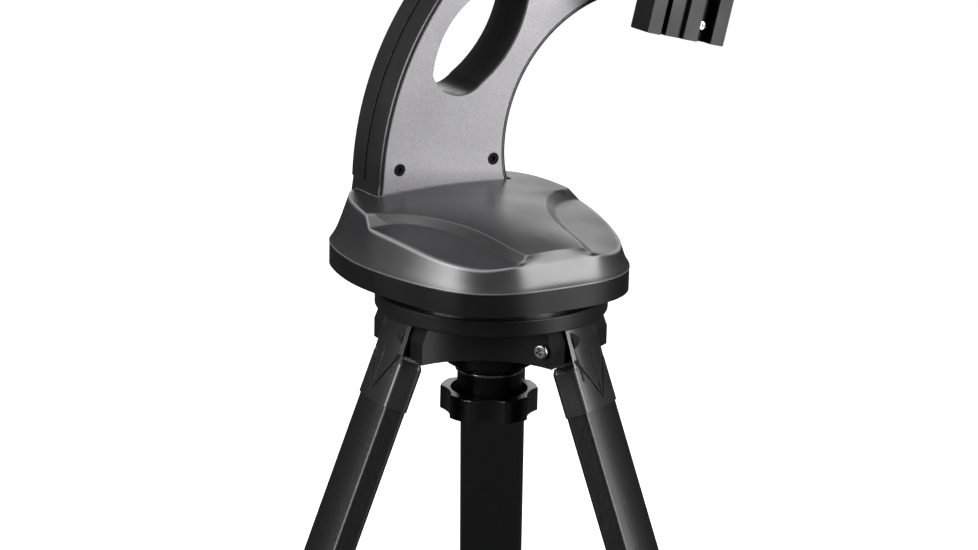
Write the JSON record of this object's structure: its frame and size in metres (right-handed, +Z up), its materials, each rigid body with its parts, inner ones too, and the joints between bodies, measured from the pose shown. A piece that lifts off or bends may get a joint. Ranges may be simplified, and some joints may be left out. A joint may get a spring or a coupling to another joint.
{
  "type": "alt azimuth mount",
  "caption": "Single-arm alt-azimuth telescope mount: sculpted turning base, sweeping arm with a window, tilting dovetail saddle, and a folding tripod with a star knob.",
  "frame": {"origin": "the point where the altitude axis meets the saddle's seat face", "axes": "+X along the altitude axis, out of the seat; +Y horizontal, the way the arm leans; +Z up, parallel to the azimuth axis"},
  "size_m": [0.478, 0.4767, 0.8325],
  "materials": {
    "black_plastic": "moulded, fine grain, satin",
    "smooth_plastic": "smooth satin",
    "knob_plastic": "smooth satin",
    "grey_paint": "speckled satin paint",
    "black_aluminium": "satin anodised",
    "steel": "machined",
    "bright_screw": "polished",
    "black_screw": "black oxide",
    "brass": "machined",
    "white_plastic": "smooth",
    "rubber": "matte",
    "board": "lacquered"
  },
  "bodies": {
    "tripod_head": {"tripod_hub": "black_plastic", "neck_ring": "bright_screw", "leg_bolts": "bright_screw", "bearing_plate": "steel", "thrust_washer": "white_plastic", "azimuth_gear": "white_plastic", "spindle_nut": "steel"},
    "star_knob_body": {"star_knob": "knob_plastic", "coupling_bolt": "steel"},
    "turret": {"base_pan": "black_plastic", "base_cover": "smooth_plastic", "azimuth_motor": "steel", "drive_board": "board", "board_posts": "brass", "arm_body": "smooth_plastic", "arm_face_plate": "grey_paint", "arm_cover": "smooth_plastic", "arm_foot_screws": "black_screw", "altitude_bush_inner": "brass", "altitude_bush_outer": "brass", "altitude_motor": "steel"},
    "azimuth_pinion_body": {"azimuth_pinion": "brass"},
    "altitude_pinion_body": {"altitude_pinion": "brass"},
    "saddle": {"altitude_shaft": "steel", "altitude_gear": "white_plastic", "saddle_rotor": "black_plastic", "saddle_body": "black_aluminium", "saddle_block": "black_plastic", "saddle_screws": "bright_screw"},
    "clutch": {"clutch_knob": "knob_plastic"},
    "jaw": {"saddle_jaw": "black_aluminium"},
    "jaw_clamp": {"jaw_screw": "steel", "jaw_knob": "knob_plastic"},
    "leg_1": {"leg_fitting_1": "smooth_plastic", "leg_tube_1": "black_aluminium", "leg_collar_1": "black_plastic"},
    "leg_lock_1_body": {"leg_lock_1": "knob_plastic"},
    "lower_leg_1_body": {"lower_leg_1": "black_aluminium", "leg_foot_1": "rubber"},
    "leg_2": {"leg_fitting_2": "smooth_plastic", "leg_tube_2": "black_aluminium", "leg_collar_2": "black_plastic"},
    "leg_lock_2_body": {"leg_lock_2": "knob_plastic"},
    "lower_leg_2_body": {"lower_leg_2": "black_aluminium", "leg_foot_2": "rubber"},
    "leg_3": {"leg_fitting_3": "smooth_plastic", "leg_tube_3": "black_aluminium", "leg_collar_3": "black_plastic"},
    "leg_lock_3_body": {"leg_lock_3": "knob_plastic"},
    "lower_leg_3_body": {"lower_leg_3": "black_aluminium", "leg_foot_3": "rubber"}
  },
  "joints": [
    {"name": "azimuth", "type": "hinge", "parent": "tripod_head", "child": "turret", "pos_m": [0.03, -0.163, -0.206], "axis": [0, 0, 1], "continuous": true},
    {"name": "azimuth_pinion_spin", "type": "hinge", "parent": "turret", "child": "azimuth_pinion_body", "pos_m": [0.07815, -0.163, -0.191], "axis": [0, 0, 1], "continuous": true},
    {"name": "altitude", "type": "hinge", "parent": "turret", "child": "saddle", "pos_m": [0, 0, 0], "axis": [-1, 0, 0], "range_deg": [-20, 75]},
    {"name": "altitude_pinion_spin", "type": "hinge", "parent": "turret", "child": "altitude_pinion_body", "pos_m": [-0.047, -0.03581, -0.01163], "axis": [-1, 0, 0], "range_deg": [-300, 80]},
    {"name": "clutch_turn", "type": "hinge", "parent": "saddle", "child": "clutch", "pos_m": [-0.07, 0, 0], "axis": [-1, 0, 0], "range_deg": [0, 180]},
    {"name": "jaw_slide", "type": "slide", "parent": "saddle", "child": "jaw", "axis": [0, 0.2351, 0.972], "range_m": [0, 0.007]},
    {"name": "jaw_knob_turn", "type": "hinge", "parent": "jaw", "child": "jaw_clamp", "pos_m": [0.008, 0.01411, 0.05832], "axis": [0, 0.2351, 0.972], "range_deg": [0, 2020]},
    {"name": "star_knob_turn", "type": "hinge", "parent": "tripod_head", "child": "star_knob_body", "pos_m": [0.03, -0.163, -0.276], "axis": [0, 0, 1], "continuous": true},
    {"name": "leg_1_fold", "type": "hinge", "parent": "tripod_head", "child": "leg_1", "pos_m": [0.08101, -0.13757, -0.2284], "axis": [-0.4462, 0.8949, 0], "range_deg": [0, 21]},
    {"name": "leg_1_extend", "type": "slide", "parent": "leg_1", "child": "lower_leg_1_body", "axis": [0.3207, 0.1599, -0.9336], "range_m": [0, 0.33]},
    {"name": "leg_1_lock_turn", "type": "hinge", "parent": "leg_1", "child": "leg_lock_1_body", "pos_m": [0.25199, -0.05232, -0.67028], "axis": [0.8355, 0.4166, 0.3584], "range_deg": [0, 540]},
    {"name": "leg_2_fold", "type": "hinge", "parent": "tripod_head", "child": "leg_2", "pos_m": [-0.01753, -0.13154, -0.2284], "axis": [-0.5519, -0.8339, 0], "range_deg": [0, 21]},
    {"name": "leg_2_extend", "type": "slide", "parent": "leg_2", "child": "lower_leg_2_body", "axis": [-0.2988, 0.1978, -0.9336], "range_m": [0, 0.33]},
    {"name": "leg_2_lock_turn", "type": "hinge", "parent": "leg_2", "child": "leg_lock_2_body", "pos_m": [-0.17684, -0.02609, -0.67028], "axis": [-0.7785, 0.5153, 0.3584], "range_deg": [0, 540]},
    {"name": "leg_3_fold", "type": "hinge", "parent": "tripod_head", "child": "leg_3", "pos_m": [0.02652, -0.21989, -0.2284], "axis": [0.9981, -0.061, 0], "range_deg": [0, 21]},
    {"name": "leg_3_extend", "type": "slide", "parent": "leg_3", "child": "lower_leg_3_body", "axis": [-0.0219, -0.3577, -0.9336], "range_m": [0, 0.33]},
    {"name": "leg_3_lock_turn", "type": "hinge", "parent": "leg_3", "child": "leg_lock_3_body", "pos_m": [0.01486, -0.41058, -0.67028], "axis": [-0.057, -0.9318, 0.3584], "range_deg": [0, 540]}
  ],
  "couplings": [
    {"joint": "azimuth_pinion_spin", "follows": "azimuth", "ratio": 5},
    {"joint": "altitude_pinion_spin", "follows": "altitude", "ratio": -4},
    {"joint": "jaw_knob_turn", "follows": "jaw_slide", "rad_per_m": 5026.5}
  ]
}
